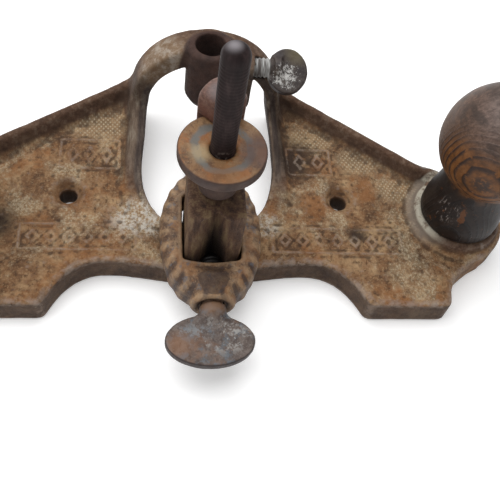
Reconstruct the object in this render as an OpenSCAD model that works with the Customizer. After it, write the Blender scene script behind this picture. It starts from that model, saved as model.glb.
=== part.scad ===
// Open-throat router plane, in millimetres.
// X runs along the plane from knob to knob, Y from the feet to the arch, Z up from the sole.
// The origin is on the sole, under the middle of the post.

/* [Casting] */
// Length of the casting from end to end
casting_length = 194; // [180:1:205]
// Thickness of the wings
wing_thickness = 9.3; // [8:0.1:11]
// Height of the top of the raised rim
rim_height = 14; // [12:0.5:15]
// Width of the raised rim
rim_width = 3.2; // [2:0.1:4]
// Distance of the feet's front edge in front of the post's axis
foot_front = 20.9; // [18:0.1:24]
// Inner end of each foot, from the middle
foot_inner = 47.7; // [44:0.1:52]
// Outer end of each foot, from the middle
foot_outer = 73.8; // [70:0.1:76]
// Distance of the notch's edge in front of the post's axis
notch_front = 6.4; // [5:0.1:9]
// Half the width of the open throat
throat_half = 21; // [19:0.1:22]
// Radius of the round pads at the ends
end_radius = 16; // [14:0.5:18]
// Distance of the knobs' axes behind the post's axis
knob_back = 12; // [8:0.5:16]

/* [Arch] */
// Outer radius of the arch
arch_radius = 23.9; // [22:0.1:24]
// Thickness of the arch's band
arch_band = 5; // [4:0.1:6]
// Depth of the arch from front to back
arch_depth = 9; // [7:0.5:12]
// Distance of the arch's back face behind the post's axis
arch_back = 61.5; // [58:0.5:66]
// Height of the centre of the arch's curve
arch_centre_z = 14.5; // [13:0.5:16]

/* [Depth rod socket] */
// Distance of the socket behind the post's axis
socket_back = 53.3; // [52:0.1:55]
// Radius of the socket's bore
socket_bore_r = 4.78; // [4:0.01:5.2]
// Outer radius of the socket
socket_r = 7.3; // [6.8:0.1:8.5]
// Height of the socket's lower end
socket_low = 16.5; // [15:0.5:20]
// Height of the socket's upper end
socket_high = 39.6; // [38.8:0.1:42]

/* [Post] */
// Width of the post
post_width = 15.8; // [15:0.1:16.6]
// Depth of the post from front to back
post_depth = 19.4; // [18.4:0.1:20]
// Height of the post above the sole
post_height = 36.5; // [32:0.1:37]
// Depth of the V grooves in the post
groove_depth = 4.5; // [4:0.1:4.7]

/* [Screws] */
// Radius of the adjusting screw's thread
adjuster_r = 3.56; // [3.2:0.01:4]
// Height of the adjusting screw's tip
adjuster_top = 87.5; // [75:0.5:95]
// Radius of the thumbscrews' threads
thumb_r = 3.17; // [2.8:0.01:3.4]
// Running clearance of the threads
thread_gap = 0.05; // [0.02:0.01:0.1]

/* [Adjusting nut] */
// Radius of the nut's rim
nut_r = 11.55; // [11:0.05:12]
// Height of the nut's top face
nut_top = 54.1; // [53:0.1:58]
// Thickness of the nut's rim
nut_rim = 3.5; // [2.5:0.1:4]
// Radius of the nut's hub
hub_r = 5.05; // [4.6:0.05:5.1]

/* [Clamp collar] */
// Half the width of the collar
collar_half_x = 15.3; // [14:0.1:17]
// Reach of the collar behind the post's axis
collar_back = 23.6; // [22.5:0.1:26]
// Reach of the collar in front of the post's axis
collar_front = 21.5; // [20:0.1:23]
// Height of the collar's top face
collar_top = 17.9; // [16:0.1:19]
// Height of the collar's thumbscrew
clamp_z = 13; // [12.9:0.1:14]

/* [Cutter] */
// Side of the cutter's square shank
shank_side = 9.53; // [9:0.01:9.8]
// Height of the shank's top
shank_top = 63.5; // [60:0.5:72]
// Width of the cutting foot
cutter_width = 12.7; // [6.35:0.05:14]
// Height of the cutting edge above the sole with the cutter drawn in
edge_lift = 0.4; // [0.2:0.1:1]

/* [Knobs] */
// Radius of the knobs' balls
ball_r = 17.3; // [15:0.1:18]
// Height of the balls' centres
ball_z = 46; // [42:0.5:50]
// Radius of the knobs' bases
knob_base_r = 12.7; // [11:0.1:14]
// Height of the pads that the knobs stand on
pad_height = 12.3; // [10.5:0.1:13]

/* [Sole screw holes] */
// Distance from one screw hole to the other
hole_spacing = 86; // [80:1:90]
// Distance of the screw holes behind the post's axis
hole_back = 17.8; // [15:0.1:20]
// Radius of the screw holes
hole_r = 2.7; // [2:0.1:3]

/* [Hidden] */
$fn = 96;

eps = 0.01;
knob_x = casting_length / 2 - end_radius;
hole_x = hole_spacing / 2;
arch_front = arch_back - arch_depth;
post_y = post_depth / 2;
groove_y = post_y - groove_depth;
groove_bottom = wing_thickness + 0.2;

// Bearings of the cutter's shank in the post's rear groove
shank_gap = 0.05;
shank_half = shank_side / sqrt(2);
shank_y = groove_y + shank_gap * sqrt(2) + shank_half;

// Nut and its slot in the shank
nut_low = nut_top - nut_rim;
hub_low = post_height + 2.1;
slot_gap = 0.2;

// Collar
collar_low = wing_thickness + 0.1;
window_half = post_width / 2 + 0.6;
window_front = post_y + 1.2;
window_tip = shank_y + shank_half + 0.3;
collar_boss_r = 5.6;
collar_boss_front = -collar_front - 1.6;

// Clamp thumbscrew
clamp_tip_y = -groove_y - 0.9;
clamp_tip_r = 0.6;
clamp_head_y = -34.3;
clamp_head_half = [12.6, 7.7];
clamp_head_thick = 3;
clamp_neck_r = 3.9;
clamp_neck_y = -collar_boss_front + 0.3;

// Depth rod thumbscrew
rod_screw_z = 31;
rod_screw_tip = socket_bore_r + 0.6;
rod_neck_x = 20.8;
rod_head_x = 25.6;
rod_head_half = [6, 7.5];
rod_head_thick = 3;
rod_head_tilt = 30;
lug_x = 14;
lug_depth = 9;

// Knobs and their screws
knob_screw_r = 2.4;
knob_screw_top = 40;
knob_screw_head_r = 4.8;
knob_neck_r = 10.4;

iron = [0.55, 0.43, 0.33];
dark_iron = [0.32, 0.27, 0.25];
rusty_steel = [0.58, 0.4, 0.25];
wood = [0.4, 0.24, 0.14];

// A point of a cubic Bezier curve, and the curve in n steps without its first point
function bezier_point(a, b, c, d, t) =
    pow(1 - t, 3) * a + 3 * t * pow(1 - t, 2) * b + 3 * t * t * (1 - t) * c + pow(t, 3) * d;
function bezier(a, b, c, d, n = 8) = [for (i = [1 : n]) bezier_point(a, b, c, d, i / n)];
function arc(centre, r, from, to, n) =
    [for (i = [0 : n]) centre + r * [cos(from + (to - from) * i / n), sin(from + (to - from) * i / n)]];
function ellipse(half, from = 0, to = 355, n = 71) =
    [for (i = [0 : n]) [half.x * cos(from + (to - from) * i / n), half.y * sin(from + (to - from) * i / n)]];

// Outline of one wing, from the middle of the front edge round to the throat.
// It runs into the round pad and out of it again.
pad_centre = [knob_x, knob_back];
far_a = [33, 57.4];
far_b = [68, 31.6];
rim_dir = (far_b - far_a) / norm(far_b - far_a);
side_joint = [foot_outer + 1.2, -foot_front + 6.6];
pad_in = pad_centre + (end_radius - 0.6) * [cos(-62), sin(-62)];
throat_back = [throat_half - 1.6, arch_back];
throat_front = [throat_half, 30];
wing_outline = concat(
    [[0, -post_y + 0.2], [7, -post_y + 0.3]],
    bezier([7, -post_y + 0.3], [15, -notch_front - 1.6], [23, -notch_front], [30, -notch_front], 6),
    bezier([30, -notch_front], [37.5, -notch_front + 0.2], [foot_inner - 4.7, -foot_front + 10.4],
        [foot_inner - 0.9, -foot_front + 2.4], 8),
    bezier([foot_inner - 0.9, -foot_front + 2.4], [foot_inner - 0.3, -foot_front + 0.8],
        [foot_inner + 0.3, -foot_front], [foot_inner + 2, -foot_front], 4),
    [[foot_outer - 2.5, -foot_front]],
    bezier([foot_outer - 2.5, -foot_front], [foot_outer - 0.9, -foot_front],
        [foot_outer - 0.1, -foot_front + 0.9], [foot_outer, -foot_front + 2.5], 5),
    bezier(side_joint, side_joint + [0.6, 4.6], pad_in - [6, 3.2], pad_in, 7),
    [pad_centre, far_b + 7.5 * rim_dir, far_b],
    bezier(far_a, far_a + [-3.4, 2.5], [28.5, arch_back], [25.5, arch_back], 6),
    [throat_back, throat_front],
    bezier(throat_front, throat_front + [0.1, -9], [18.6, 13.6], [14.2, 9.4], 8),
    bezier([14.2, 9.4], [12.2, 7.9], [10.4, 7.6], [post_width / 2, 7.6], 4),
    [[0, 7.6]]);

// Plan of the raised rim along the far edge of one wing
rim_out = 0.2 * [rim_dir.y, -rim_dir.x];
rim_in = rim_width * [rim_dir.y, -rim_dir.x];
rim_plan = [far_a + rim_out - 5 * rim_dir, far_a + rim_in - 7 * rim_dir, far_b + rim_in + 6 * rim_dir,
    far_b + rim_out + 6 * rim_dir];

// Plan and side view of the rib along one side of the throat
rib_inset = 0.2;
rib_plan = concat(
    [[throat_back.x + rib_inset, arch_front + 1], throat_front + [rib_inset, 0]],
    bezier(throat_front + [rib_inset, 0], throat_front + [rib_inset, -9], [18.9, 13.8], [14.8, 9.8], 8),
    [[17.5, 8]],
    bezier([17.5, 8], [22, 13.6], throat_front + [4.3, -9], throat_front + [4.3, 0], 8),
    [[arch_radius - 0.6, arch_front + 1]]);
rib_side = [[8, 5], [8, wing_thickness - 0.5], [22, 10.8], [36, 12.2], [arch_front + 1, rim_height],
    [arch_front + 1, 5]];

module both_sides() {
    children();
    mirror([1, 0, 0]) children();
}

// Turns an XY outline into the XZ plane and pushes it from y = from to y = to
module along_y(from, to) {
    translate([0, to, 0]) rotate([90, 0, 0]) linear_extrude(to - from) children();
}

module groove_prism(low, high) {
    translate([0, 0, low]) linear_extrude(high - low)
        polygon([[0, groove_y], [groove_depth + 1, post_y + 1], [-groove_depth - 1, post_y + 1]]);
}

module wing() {
    linear_extrude(wing_thickness) polygon(wing_outline);
    linear_extrude(rim_height) polygon(rim_plan);
    intersection() {
        linear_extrude(rim_height) polygon(rib_plan);
        rotate([90, 0, 90]) linear_extrude(30) polygon(rib_side);
    }
    // Pad for the knob
    translate([knob_x, knob_back, 0]) rotate_extrude()
        polygon([[0, 0], [end_radius - 1.4, 0], [end_radius, 2.5], [end_radius, wing_thickness],
            [knob_base_r + 1.2, pad_height], [0, pad_height]]);
}

module arch() {
    difference() {
        translate([0, arch_back, arch_centre_z]) rotate([90, 0, 0]) cylinder(h = arch_depth, r = arch_radius);
        translate([0, arch_back + 1, arch_centre_z]) rotate([90, 0, 0])
            cylinder(h = arch_depth + 2, r = arch_radius - arch_band);
        translate([-arch_radius - 1, arch_front - 1, arch_centre_z - 2 * arch_radius])
            cube([2 * arch_radius + 2, arch_depth + 2, 2 * arch_radius]);
    }
    both_sides() {
        translate([throat_back.x - 0.2, arch_front, 0])
            cube([arch_radius - 0.4 - throat_back.x, arch_depth - 0.2, arch_centre_z + 1]);
        // Gusset between the arch's foot and the rim
        along_y(arch_back - 7, arch_back - 3.5)
            polygon([[20.6, 23], [23, 20.5], [24.8, 17.5], [27.5, 15.3], [31, 13.6], [31, 5], [20.6, 5]]);
    }
}

module socket() {
    translate([0, socket_back, 0]) rotate_extrude()
        polygon([[0, socket_low], [5.8, socket_low], [socket_r, socket_low + 4], [socket_r, socket_high - 0.8],
            [socket_r - 0.8, socket_high], [0, socket_high]]);
    // Lug that carries the thumbscrew
    translate([0, socket_back - lug_depth / 2, socket_low]) cube([lug_x, lug_depth, 34.5 - socket_low]);
}

module post() {
    translate([-post_width / 2, -post_y, 0]) cube([post_width, post_depth, post_height]);
}

module countersunk_hole(x) {
    translate([x, hole_back, -1]) cylinder(h = wing_thickness + 2, r = hole_r);
    translate([x, hole_back, wing_thickness - 3]) cylinder(h = 3 + eps, r1 = hole_r, r2 = 4.6);
}

// Clearance in the casting for the screw that holds a knob
module knob_screw_hole(x) {
    translate([x, knob_back, -1]) cylinder(h = pad_height + 2, r = knob_screw_r + 0.1);
    translate([x, knob_back, -eps]) cylinder(h = 3, r1 = knob_screw_head_r + 0.5, r2 = knob_screw_r + 0.1);
}

module body_casting() color(iron) difference() {
    union() {
        both_sides() wing();
        arch();
        socket();
        post();
    }
    translate([0, socket_back, socket_low - 1]) cylinder(h = 30, r = socket_bore_r);
    translate([socket_bore_r - 1, socket_back, rod_screw_z]) rotate([0, 90, 0])
        cylinder(h = 20, r = thumb_r + thread_gap);
    groove_prism(-1, post_height + 1);
    mirror([0, 1, 0]) groove_prism(groove_bottom, post_height + 1);
    translate([0, 0, post_height - 18]) cylinder(h = 19, r = adjuster_r);
    for (x = [-hole_x, hole_x]) countersunk_hole(x);
    for (x = [-knob_x, knob_x]) knob_screw_hole(x);
}

// Threaded stud, fixed in the post
module adjusting_screw() color(dark_iron) rotate_extrude()
    polygon([[0, post_height - 18], [adjuster_r, post_height - 18], [adjuster_r, adjuster_top - 2],
        [adjuster_r - 0.7, adjuster_top - 0.7], [adjuster_r - 2, adjuster_top], [0, adjuster_top]]);

module adjusting_nut() color(rusty_steel) difference() {
    union() {
        translate([0, 0, hub_low]) cylinder(h = nut_top - hub_low, r = hub_r);
        translate([0, 0, nut_low]) cylinder(h = nut_rim, r = nut_r);
    }
    translate([0, 0, hub_low - 1]) cylinder(h = 30, r = adjuster_r + thread_gap);
}

// Half-ellipses in front of and behind the post's axis, cut off square at the boss
collar_outline = concat(ellipse([collar_half_x, collar_back], 0, 180, 36),
    ellipse([collar_half_x, collar_front + 2.8], 185, 355, 34));

module clamp_collar() color(iron) difference() {
    union() {
        intersection() {
            translate([0, 0, collar_low]) linear_extrude(collar_top - collar_low) polygon(collar_outline);
            translate([-30, -collar_front, 0]) cube([60, 60, 30]);
        }
        translate([0, -collar_front + 3, clamp_z]) rotate([90, 0, 0]) {
            cylinder(h = 3.2, r = collar_boss_r);
            translate([0, 0, 3.2]) cylinder(h = -collar_boss_front - collar_front - 0.2, r1 = collar_boss_r, r2 = 5);
        }
    }
    // Window for the post, with a notch that seats the cutter's shank
    translate([0, 0, collar_low - 1]) linear_extrude(collar_top - collar_low + 2)
        polygon([[-window_half, -window_front], [window_half, -window_front],
            [window_half, window_tip - window_half], [0, window_tip], [-window_half, window_tip - window_half]]);
    translate([0, -window_front + 1, clamp_z]) rotate([90, 0, 0])
        cylinder(h = 20, r = thumb_r + thread_gap);
}

// Pointed screw with a plain neck and a flat oval head
module collar_thumbscrew() color(dark_iron) {
    translate([0, 0, clamp_z]) rotate([90, 0, 0]) rotate_extrude()
        polygon([[0, -clamp_tip_y], [clamp_tip_r, -clamp_tip_y], [thumb_r, -clamp_tip_y + thumb_r - clamp_tip_r],
            [thumb_r, clamp_neck_y], [clamp_neck_r, clamp_neck_y], [clamp_neck_r, 27], [0, 27]]);
    translate([0, clamp_head_y, clamp_z - clamp_head_thick / 2]) linear_extrude(clamp_head_thick)
        polygon(ellipse(clamp_head_half));
}

module shank_section() {
    rotate(45) square(shank_side, center = true);
}

module cutter() color(rusty_steel) difference() {
    union() {
        // Square shank, set corner to corner, with a domed top
        intersection() {
            translate([0, shank_y, edge_lift]) linear_extrude(shank_top - edge_lift) shank_section();
            union() {
                translate([0, shank_y, shank_top - 9]) sphere(r = 9);
                translate([0, shank_y, 0]) cylinder(h = shank_top - 9, r = 9);
            }
        }
        // Foot with its bevelled edge, forward of the shank
        translate([-cutter_width / 2, 0, 0]) rotate([90, 0, 90]) linear_extrude(cutter_width)
            polygon([[post_y + 0.3, edge_lift + 0.6], [37, edge_lift], [36, edge_lift + 1.6],
                [22, edge_lift + 3.6], [post_y + 0.3, edge_lift + 3.6]]);
    }
    // Slot that holds the nut's rim
    translate([-10, 0, nut_low - slot_gap])
        cube([20, nut_r + slot_gap, nut_rim + 2 * slot_gap]);
}

module depth_rod_thumbscrew() color(dark_iron) translate([0, socket_back, rod_screw_z]) {
    rotate([0, 90, 0]) {
        translate([0, 0, rod_screw_tip]) cylinder(h = rod_head_x - rod_screw_tip, r = thumb_r);
        translate([0, 0, rod_neck_x]) cylinder(h = 2.6, r1 = thumb_r, r2 = 3.9);
    }
    rotate([rod_head_tilt, 0, 0]) translate([rod_head_x, 0, -rod_head_thick / 2])
        linear_extrude(rod_head_thick) polygon(ellipse(rod_head_half));
}

// Ball on a flared base, turned in one piece
knob_profile = concat(
    [[0, pad_height], [knob_base_r - 0.6, pad_height], [knob_base_r, pad_height + 0.8],
        [knob_base_r, pad_height + 4]],
    bezier([knob_base_r, pad_height + 4], [knob_base_r - 0.6, pad_height + 10], [knob_neck_r, pad_height + 14],
        [knob_neck_r, ball_z - sqrt(ball_r * ball_r - knob_neck_r * knob_neck_r)], 6),
    arc([0, ball_z], ball_r, -49, 90, 24));

module knob() color(wood) difference() {
    rotate_extrude() polygon(knob_profile);
    translate([0, 0, pad_height - 1]) cylinder(h = knob_screw_top + 1 - pad_height + 1, r = knob_screw_r);
}

// Flat-headed screw that comes up through the casting into a knob
module knob_screw() color(dark_iron) difference() {
    rotate_extrude()
        polygon([[0, 0.3], [knob_screw_head_r, 0.3], [knob_screw_head_r, 0.5], [knob_screw_r, 3],
            [knob_screw_r, knob_screw_top - 3], [0.5, knob_screw_top], [0, knob_screw_top]]);
    translate([-6, -0.5, 0]) cube([12, 1, 1.3]);
}

module left_knob() translate([-knob_x, knob_back, 0]) knob();
module right_knob() translate([knob_x, knob_back, 0]) knob();
module left_knob_screw() translate([-knob_x, knob_back, 0]) knob_screw();
module right_knob_screw() translate([knob_x, knob_back, 0]) knob_screw();

body_casting();
adjusting_screw();
adjusting_nut();
clamp_collar();
collar_thumbscrew();
cutter();
depth_rod_thumbscrew();
left_knob();
right_knob();
left_knob_screw();
right_knob_screw();
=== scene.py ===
"""Looks of an open-throat router plane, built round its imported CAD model.

Shapes are worked out in millimetres, as distance fields or turned profiles, and made into meshes in metres.
X runs from knob to knob, Y from the feet to the arch, Z up from the sole.
"""

import functools
import itertools
import math

import bpy
import numpy as np
from mathutils import Matrix, Vector


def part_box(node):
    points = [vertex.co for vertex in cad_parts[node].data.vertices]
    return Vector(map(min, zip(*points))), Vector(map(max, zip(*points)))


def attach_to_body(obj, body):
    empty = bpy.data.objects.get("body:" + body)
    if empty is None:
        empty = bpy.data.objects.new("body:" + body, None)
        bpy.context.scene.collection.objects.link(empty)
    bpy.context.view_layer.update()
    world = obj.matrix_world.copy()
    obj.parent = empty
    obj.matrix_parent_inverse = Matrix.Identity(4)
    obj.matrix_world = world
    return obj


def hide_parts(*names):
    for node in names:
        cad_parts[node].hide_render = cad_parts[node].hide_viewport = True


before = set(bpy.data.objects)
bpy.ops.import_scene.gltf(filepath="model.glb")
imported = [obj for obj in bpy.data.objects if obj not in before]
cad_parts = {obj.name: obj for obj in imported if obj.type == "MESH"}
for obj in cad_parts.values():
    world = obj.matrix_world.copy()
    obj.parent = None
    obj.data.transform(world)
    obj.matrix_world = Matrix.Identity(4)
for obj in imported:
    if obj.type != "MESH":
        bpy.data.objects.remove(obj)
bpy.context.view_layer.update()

MM = 0.001


def node_box(node):
    """Lowest and highest corner of a CAD node, in millimetres."""
    low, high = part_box(node)
    return np.array(low) / MM, np.array(high) / MM


# ---------------------------------------------------------------- sizes, in millimetres

# Casting: its grid's step, wings, rim, feet, notch between them, arch and knob pads
CAST_LOW, CAST_HIGH = node_box("body_casting")
CAST_STEP = 0.5
WING_TOP = 9.3
RIM_TOP = 14.0
RIM_WIDTH = 2.6
FOOT_FRONT = -CAST_LOW[1]
FOOT_OUTER = 73.8
NOTCH_FRONT = 6.4
ARCH_BACK = CAST_HIGH[1]
ARCH_DEPTH = 10.2
ARCH_Z = 14.5
ARCH_OUTER = 24.6
ARCH_INNER = 17.8
PAD_R = 16.0
PAD_TOP = 12.3
BOSS_R = 13.9

# Post: half width and half depth, and its V grooves
POST_HALF = (7.9, 9.7)
POST_TOP = 36.5
GROOVE = 5.2
GROOVE_FLOOR = 9.6
GROOVE_END = 34.4

# Socket for the depth rod, with the lug and the way for its thumbscrew
SOCKET_Y = 53.3
SOCKET_R = 7.3
SOCKET_BORE = 4.78
SOCKET_LOW = 16.5
SOCKET_TOP = 39.6
LUG_Z = 25.5
ROD_Z = 31.0
THREAD_R = 3.17
THREAD_PITCH = 1.27

# Holes through the wings, and knobs
HOLE_X = 43.0
HOLE_Y = 17.8
HOLE_R = 2.7
KNOB_X = CAST_HIGH[0] - PAD_R
KNOB_Y = 12.0
KNOB_FOOT = 12.3
KNOB_NECK = 10.4
BALL_R = 17.25
BALL_Z = 46.0

# Nut, collar and its screw's axis
NUT_LOW, NUT_HIGH = node_box("adjusting_nut")
NUT_RIM = 3.5
NUT_HUB = 5.4
COLLAR_LOW, COLLAR_HIGH = node_box("clamp_collar")
COLLAR_FRONT = 24.3
COLLAR_WAY = 8.5
CLAMP_Z = 13.0

# Cutter: axis, half diagonal and dome of its square shank, and back of its foot. Then the stud
CUTTER_LOW, CUTTER_HIGH = node_box("cutter")
SHANK_Y = 12.01
SHANK_HALF = 9.53 / math.sqrt(2)
SHANK_DOME = 7.6
FOOT_BACK = 37
STUD_LOW, STUD_HIGH = node_box("adjusting_screw")
STUD_R = STUD_HIGH[0]
STUD_PITCH = 1.058
STUD_TIP = 3.2


# ---------------------------------------------------------------- distance fields

def union(a, b, r=0.0):
    """Joins two fields, with a fillet of about r."""
    if r <= 0:
        return np.minimum(a, b)
    h = np.clip(0.5 + 0.5 * (b - a) / r, 0, 1)
    return b * (1 - h) + a * h - r * h * (1 - h)


def both(a, b, r=0.0):
    """What two fields share, with the edge rounded by about r."""
    return -union(-a, -b, r)


def cut(a, b, r=0.0):
    """Field a without field b."""
    return both(a, -b, r)


def bezier(*points, n=8):
    """A Bezier curve through control points, without its first point."""
    t = np.linspace(0, 1, n + 1)[1:, None]
    level = [np.array(p, float)[None] for p in points]
    while len(level) > 1:
        level = [a * (1 - t) + b * t for a, b in zip(level, level[1:])]
    return level[0].tolist()


def path_distance(u, v, points, closed=False):
    """Distance to a polyline, or the signed distance to a closed outline."""
    points = [np.array(p, float) for p in points]
    ends = points[1:] + points[:1] if closed else points[1:]
    nearest = np.full(np.broadcast(u, v).shape, 1e9, np.float32)
    inside = np.zeros(nearest.shape, bool)
    for a, b in zip(points, ends):
        along = b - a
        t = np.clip(((u - a[0]) * along[0] + (v - a[1]) * along[1]) / max(along @ along, 1e-9), 0, 1)
        nearest = np.minimum(nearest, np.hypot(u - a[0] - t * along[0], v - a[1] - t * along[1]))
        if closed and a[1] != b[1]:
            crosses = (a[1] > v) != (b[1] > v)
            inside ^= crosses & (u < a[0] + (v - a[1]) / (b[1] - a[1]) * along[0])
    return np.where(inside, -nearest, nearest)


def mirrored(points):
    """A half outline that starts and ends on the middle line, with its mirror image."""
    return list(points) + [[-x, y] for x, y in reversed(points) if abs(x) > 1e-6]


def ellipse(u, v, a, b):
    """Nearly the distance to an ellipse."""
    k = np.hypot(u / a, v / b)
    return k * (k - 1) / np.maximum(np.hypot(u / a**2, v / b**2), 1e-6)


def lattice_noise(x, y, z, size, seed):
    """Smooth noise from -1 to 1, with features of about size."""
    values = np.random.default_rng(seed).uniform(-1, 1, (32, 32, 32)).astype(np.float32)
    whole, part = [], []
    for w in (x, y, z):
        w = np.asarray(w, np.float32) / size + 64
        f = np.floor(w)
        t = w - f
        whole.append(f.astype(np.int32))
        part.append(t * t * (3 - 2 * t))
    total = 0
    for corner in itertools.product((0, 1), repeat=3):
        weight = 1
        for t, c in zip(part, corner):
            weight = weight * (t if c else 1 - t)
        i, j, k = ((w + c) % 32 for w, c in zip(whole, corner))
        total = total + weight * values[i, j, k]
    return total


def smooth_step(low, high, w):
    """0 at low, 1 at high and smooth between them."""
    t = np.clip((w - low) / (high - low), 0, 1)
    return t * t * (3 - 2 * t)


# ---------------------------------------------------------------- meshes

def sample(grid, places):
    """Values of a grid between its points, which are counted in grid steps."""
    whole = np.clip(np.floor(places).astype(int), 0, np.array(grid.shape) - 2)
    part = places - whole
    total = 0
    for corner in itertools.product((0, 1), repeat=3):
        weight = np.prod([part[:, a] if c else 1 - part[:, a] for a, c in enumerate(corner)], axis=0)
        total = total + weight * grid[tuple((whole + corner).T)]
    return total


def net_of(grid):
    """Vertices, in grid steps, and quads of the surface where a grid of distances is zero."""
    inside = grid < 0
    corners = list(itertools.product((0, 1), repeat=3))
    parts = [grid[tuple(slice(c, n - 1 + c) for c, n in zip(corner, grid.shape))] for corner in corners]
    count = sum((p < 0).astype(np.int8) for p in parts)
    mixed = (count > 0) & (count < 8)
    number = np.full(mixed.shape, -1, np.int64)
    number[mixed] = np.arange(mixed.sum())
    values = [p[mixed] for p in parts]
    total, hits = np.zeros((mixed.sum(), 3)), np.zeros(mixed.sum())
    for i, j in itertools.combinations(range(8), 2):
        step = np.array(corners[j]) - corners[i]
        if np.abs(step).sum() != 1:
            continue
        a, b = values[i], values[j]
        crosses = (a < 0) != (b < 0)
        t = np.where(crosses, a / np.where(crosses, a - b, 1), 0)
        total += crosses[:, None] * (np.array(corners[i]) + t[:, None] * step)
        hits += crosses
    places = np.argwhere(mixed) + total / hits[:, None]
    quads = []
    for axis, u, v in ((0, 1, 2), (1, 2, 0), (2, 0, 1)):
        near = np.take(inside, range(grid.shape[axis] - 1), axis)
        far = np.take(inside, range(1, grid.shape[axis]), axis)
        last_u, last_v = grid.shape[u] - 1, grid.shape[v] - 1
        for falls in (True, False):
            at = np.argwhere((near != far) & (near == falls))
            at = at[(at[:, u] > 0) & (at[:, v] > 0) & (at[:, u] < last_u) & (at[:, v] < last_v)]
            around = []
            for du, dv in ((1, 1), (0, 1), (0, 0), (1, 0)):
                cell = at.copy()
                cell[:, u] -= du
                cell[:, v] -= dv
                around.append(number[tuple(cell.T)])
            quads.append(np.stack(around if falls else around[::-1], 1))
    return places, np.concatenate(quads)


def link(made):
    """Puts a new object into the scene."""
    bpy.context.scene.collection.objects.link(made)
    return made


def set_values(mesh, name, values):
    """Stores one named value on each vertex, for the material."""
    layer = mesh.attributes.new(name, "FLOAT", "POINT")
    layer.data.foreach_set("value", np.asarray(values, np.float32))


def new_object(name, vertices, faces):
    """A smooth mesh object from vertices in millimetres."""
    mesh = bpy.data.meshes.new(name)
    mesh.from_pydata((np.asarray(vertices) * MM).tolist(), [], faces)
    mesh.validate()
    mesh.shade_smooth()
    return link(bpy.data.objects.new(name, mesh))


def field_object(name, low, high, step, field, bend=1.0):
    """A mesh of the surface of a distance field. edge and hollow say how sharply it bends out and in."""
    axes = [np.arange(a - 3 * step, b + 4 * step, step, dtype=np.float32) for a, b in zip(low, high)]
    x, y, z = np.meshgrid(*axes, indexing="ij", sparse=True)
    grid = np.asarray(field(x, y, z), np.float32)
    places, quads = net_of(grid)
    slopes = np.gradient(grid)
    for _ in range(2):
        away = sample(grid, places)
        slope = np.stack([sample(s, places) for s in slopes], 1)
        places -= np.clip(away / np.maximum((slope**2).sum(1), 1e-4), -0.6, 0.6)[:, None] * slope
    reach = max(1, round(bend / step))
    curve = -6 * grid
    for axis in range(3):
        curve = curve + np.roll(grid, reach, axis) + np.roll(grid, -reach, axis)
    curve = sample(curve, places) / (reach * step)
    start = np.array([a[0] for a in axes])
    piece = new_object(name, start + places * step, quads.tolist())
    set_values(piece.data, "edge", np.clip(curve, 0, 1))
    set_values(piece.data, "hollow", np.clip(-curve, 0, 1))
    return piece


def paint(piece, name, values_at):
    """Stores values_at(x, y, z) on a piece's vertices, as a named value for its material."""
    places = np.empty(3 * len(piece.data.vertices), np.float32)
    piece.data.vertices.foreach_get("co", places)
    set_values(piece.data, name, values_at(*(places.reshape(-1, 3) / MM).T))
    return piece


def turned_object(name, profile, centre=(0, 0), around=96, thread=None, wobble=0.0, seed=1):
    """A profile of (radius, height) turned about a vertical axis, slightly uneven, with a thread if wanted.

    thread is its pitch, depth, lowest and highest place.
    """
    profile = np.array(profile, float)
    angle = np.linspace(0, 2 * math.pi, around, endpoint=False)
    radius, height = profile[:, :1] * np.ones(around), profile[:, 1:] * np.ones(around)
    if thread:
        pitch, depth, low, high = thread
        turn = (height / pitch - angle / (2 * math.pi)) % 1
        ends = smooth_step(low, low + pitch, height) * (1 - smooth_step(high - pitch, high, height))
        wide = radius > 0.8 * profile[:, 0].max()
        radius = radius - depth * (0.5 + 0.5 * np.cos(2 * math.pi * turn)) * ends * wide
    x, y = radius * np.cos(angle), radius * np.sin(angle)
    uneven = lattice_noise(x, y, height, 7, seed), lattice_noise(x, y, height, 2, seed + 1)
    shift = 1 + wobble * uneven[0] + 0.3 * wobble * uneven[1]
    vertices = np.stack([x * shift + centre[0], y * shift + centre[1], height], 2).reshape(-1, 3).tolist()
    rows = len(profile)
    i, j = np.meshgrid(np.arange(rows - 1), np.arange(around), indexing="ij")
    k = (j + 1) % around
    quads = [i * around + j, i * around + k, (i + 1) * around + k, (i + 1) * around + j]
    faces = np.stack(quads, 2).reshape(-1, 4).tolist()
    for row, flip in ((0, True), (rows - 1, False)):
        tip = len(vertices)
        vertices.append([centre[0], centre[1], profile[row, 1]])
        for j in range(around):
            pair = [row * around + j, row * around + (j + 1) % around]
            faces.append((pair[::-1] if flip else pair) + [tip])
    return new_object(name, vertices, faces)


def rounded_profile(points, radii):
    """A profile with its corners rounded. Points are (radius, height)."""
    points = [np.array(p, float) for p in points]
    made = []
    for i, (p, r) in enumerate(zip(points, radii)):
        if r <= 0 or i in (0, len(points) - 1):
            made.append(p)
            continue
        before, after = points[i - 1] - p, points[i + 1] - p
        a = p + before / np.linalg.norm(before) * r
        b = p + after / np.linalg.norm(after) * r
        made.append(a)
        made += [np.array(q) for q in bezier(a, p, b, n=5)]
    fine = [made[0]]
    for a, b in zip(made, made[1:]):
        steps = max(1, int(np.linalg.norm(b - a) / 0.8))
        fine += [a + (b - a) * s / steps for s in range(1, steps + 1)]
    return fine


# ---------------------------------------------------------------- body casting

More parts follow.
